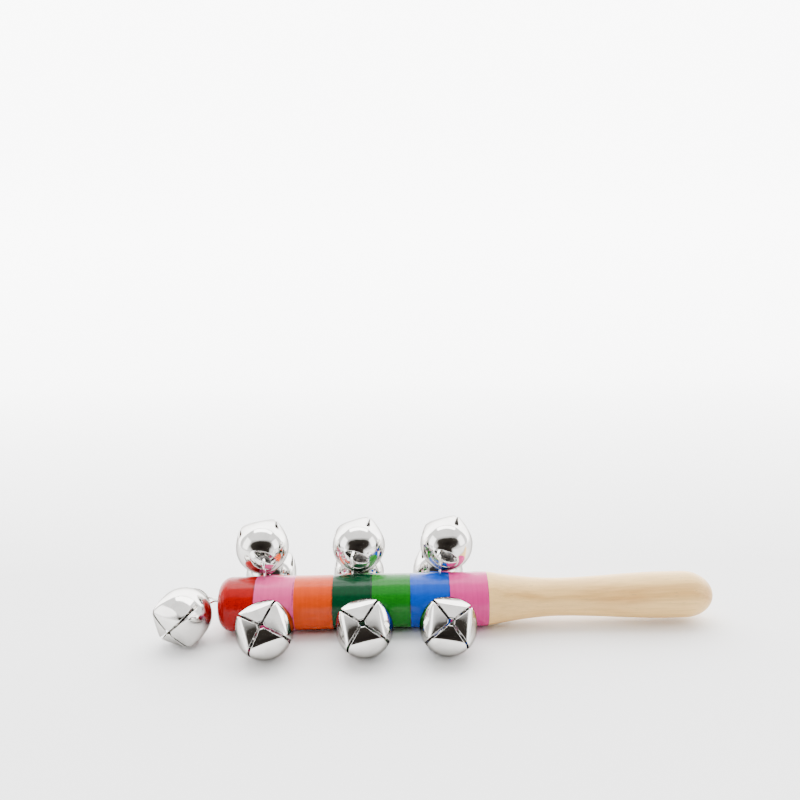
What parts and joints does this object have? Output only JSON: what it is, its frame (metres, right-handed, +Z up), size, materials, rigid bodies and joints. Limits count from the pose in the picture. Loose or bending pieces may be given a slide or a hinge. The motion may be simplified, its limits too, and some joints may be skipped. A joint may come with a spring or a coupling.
{
  "type": "hand sleigh bells",
  "caption": "Hand sleigh bells: small jingle bells with loose pellets hang from wire eyes on a turned wooden stick with painted bands and a bare waisted handle.",
  "frame": {"origin": "on the ground, below the middle of the whole object as it lies", "axes": "+X along the stick from its tip bell to its handle, +Z up from the ground it lies on, -Y to the front"},
  "size_m": [0.2058, 0.0662, 0.0376],
  "materials": {
    "stick_wood": "turned light hardwood, clear lacquer on the handle, glossy painted bands on the barrel",
    "bell_plate": "bright nickel plate on pressed steel",
    "pin_wire": "bright plated steel wire",
    "pellet_iron": "plain tumbled iron"
  },
  "bodies": {
    "stick": {"stick": "stick_wood", "eye_pin_top_1": "pin_wire", "eye_pin_top_2": "pin_wire", "eye_pin_top_3": "pin_wire", "eye_pin_front_1": "pin_wire", "eye_pin_front_2": "pin_wire", "eye_pin_front_3": "pin_wire", "eye_pin_back_1": "pin_wire", "eye_pin_back_2": "pin_wire", "eye_pin_back_3": "pin_wire", "eye_pin_tip": "pin_wire"},
    "bell_top_1": {"bell_shell_top_1": "bell_plate"},
    "pellet_top_1": {"pellet_top_1": "pellet_iron"},
    "bell_top_2": {"bell_shell_top_2": "bell_plate"},
    "pellet_top_2": {"pellet_top_2": "pellet_iron"},
    "bell_top_3": {"bell_shell_top_3": "bell_plate"},
    "pellet_top_3": {"pellet_top_3": "pellet_iron"},
    "bell_front_1": {"bell_shell_front_1": "bell_plate"},
    "pellet_front_1": {"pellet_front_1": "pellet_iron"},
    "bell_front_2": {"bell_shell_front_2": "bell_plate"},
    "pellet_front_2": {"pellet_front_2": "pellet_iron"},
    "bell_front_3": {"bell_shell_front_3": "bell_plate"},
    "pellet_front_3": {"pellet_front_3": "pellet_iron"},
    "bell_back_1": {"bell_shell_back_1": "bell_plate"},
    "pellet_back_1": {"pellet_back_1": "pellet_iron"},
    "bell_back_2": {"bell_shell_back_2": "bell_plate"},
    "pellet_back_2": {"pellet_back_2": "pellet_iron"},
    "bell_back_3": {"bell_shell_back_3": "bell_plate"},
    "pellet_back_3": {"pellet_back_3": "pellet_iron"},
    "bell_tip": {"bell_shell_tip": "bell_plate"},
    "pellet_tip": {"pellet_tip": "pellet_iron"}
  },
  "joints": [
    {"name": "bell_top_1_swing", "type": "hinge", "parent": "stick", "child": "bell_top_1", "pos_m": [-0.06416, -0.00145, 0.0252], "axis": [-0.9962, -0.0872, 0], "range_deg": [-150, 0.8]},
    {"name": "pellet_top_1_rattle", "type": "slide", "parent": "bell_top_1", "child": "pellet_top_1", "axis": [0, 0, 1], "range_m": [0, 0.0122]},
    {"name": "bell_top_2_swing", "type": "hinge", "parent": "stick", "child": "bell_top_2", "pos_m": [-0.03146, -0.00145, 0.0252], "axis": [-1, 0, 0], "range_deg": [-148.5, 0.8]},
    {"name": "pellet_top_2_rattle", "type": "slide", "parent": "bell_top_2", "child": "pellet_top_2", "axis": [0, 0, 1], "range_m": [0, 0.0122]},
    {"name": "bell_top_3_swing", "type": "hinge", "parent": "stick", "child": "bell_top_3", "pos_m": [0.00114, -0.00145, 0.0252], "axis": [-0.9994, 0.0349, 0], "range_deg": [-147, 0.8]},
    {"name": "pellet_top_3_rattle", "type": "slide", "parent": "bell_top_3", "child": "pellet_top_3", "axis": [0, 0, 1], "range_m": [0, 0.0122]},
    {"name": "bell_front_1_swing", "type": "hinge", "parent": "stick", "child": "bell_front_1", "pos_m": [-0.06186, -0.01349, 0.00295], "axis": [-1, 0, 0], "range_deg": [-135.04, 0.8]},
    {"name": "pellet_front_1_rattle", "type": "slide", "parent": "bell_front_1", "child": "pellet_front_1", "axis": [0, 0, 1], "range_m": [0, 0.0122]},
    {"name": "bell_front_2_swing", "type": "hinge", "parent": "stick", "child": "bell_front_2", "pos_m": [-0.02626, -0.01349, 0.00295], "axis": [-1, 0, 0], "range_deg": [-134.87, 0.8]},
    {"name": "pellet_front_2_rattle", "type": "slide", "parent": "bell_front_2", "child": "pellet_front_2", "axis": [0, 0, 1], "range_m": [0, 0.0122]},
    {"name": "bell_front_3_swing", "type": "hinge", "parent": "stick", "child": "bell_front_3", "pos_m": [0.00184, -0.01349, 0.00295], "axis": [-1, 0, 0], "range_deg": [-133.39, 0.8]},
    {"name": "pellet_front_3_rattle", "type": "slide", "parent": "bell_front_3", "child": "pellet_front_3", "axis": [0, 0, 1], "range_m": [0, 0.0122]},
    {"name": "bell_back_1_swing", "type": "hinge", "parent": "stick", "child": "bell_back_1", "pos_m": [-0.06526, 0.01185, 0.00584], "axis": [0.9986, -0.0153, -0.05], "range_deg": [-105.56, 0.8]},
    {"name": "pellet_back_1_rattle", "type": "slide", "parent": "bell_back_1", "child": "pellet_back_1", "axis": [0, 0, 1], "range_m": [0, 0.0122]},
    {"name": "bell_back_2_swing", "type": "hinge", "parent": "stick", "child": "bell_back_2", "pos_m": [-0.03096, 0.01185, 0.00584], "axis": [0.9976, 0.0204, 0.0667], "range_deg": [-105.18, 0.8]},
    {"name": "pellet_back_2_rattle", "type": "slide", "parent": "bell_back_2", "child": "pellet_back_2", "axis": [0, 0, 1], "range_m": [0, 0.0122]},
    {"name": "bell_back_3_swing", "type": "hinge", "parent": "stick", "child": "bell_back_3", "pos_m": [0.00164, 0.01185, 0.00584], "axis": [1, 0, 0], "range_deg": [-103.38, 0.8]},
    {"name": "pellet_back_3_rattle", "type": "slide", "parent": "bell_back_3", "child": "pellet_back_3", "axis": [0, 0, 1], "range_m": [0, 0.0122]},
    {"name": "bell_tip_swing", "type": "hinge", "parent": "stick", "child": "bell_tip", "pos_m": [-0.08606, -0.00145, 0.01155], "axis": [0, 0, 1], "range_deg": [-118, 0.8]},
    {"name": "pellet_tip_rattle", "type": "slide", "parent": "bell_tip", "child": "pellet_tip", "axis": [0, 0, 1], "range_m": [0, 0.0122]}
  ]
}
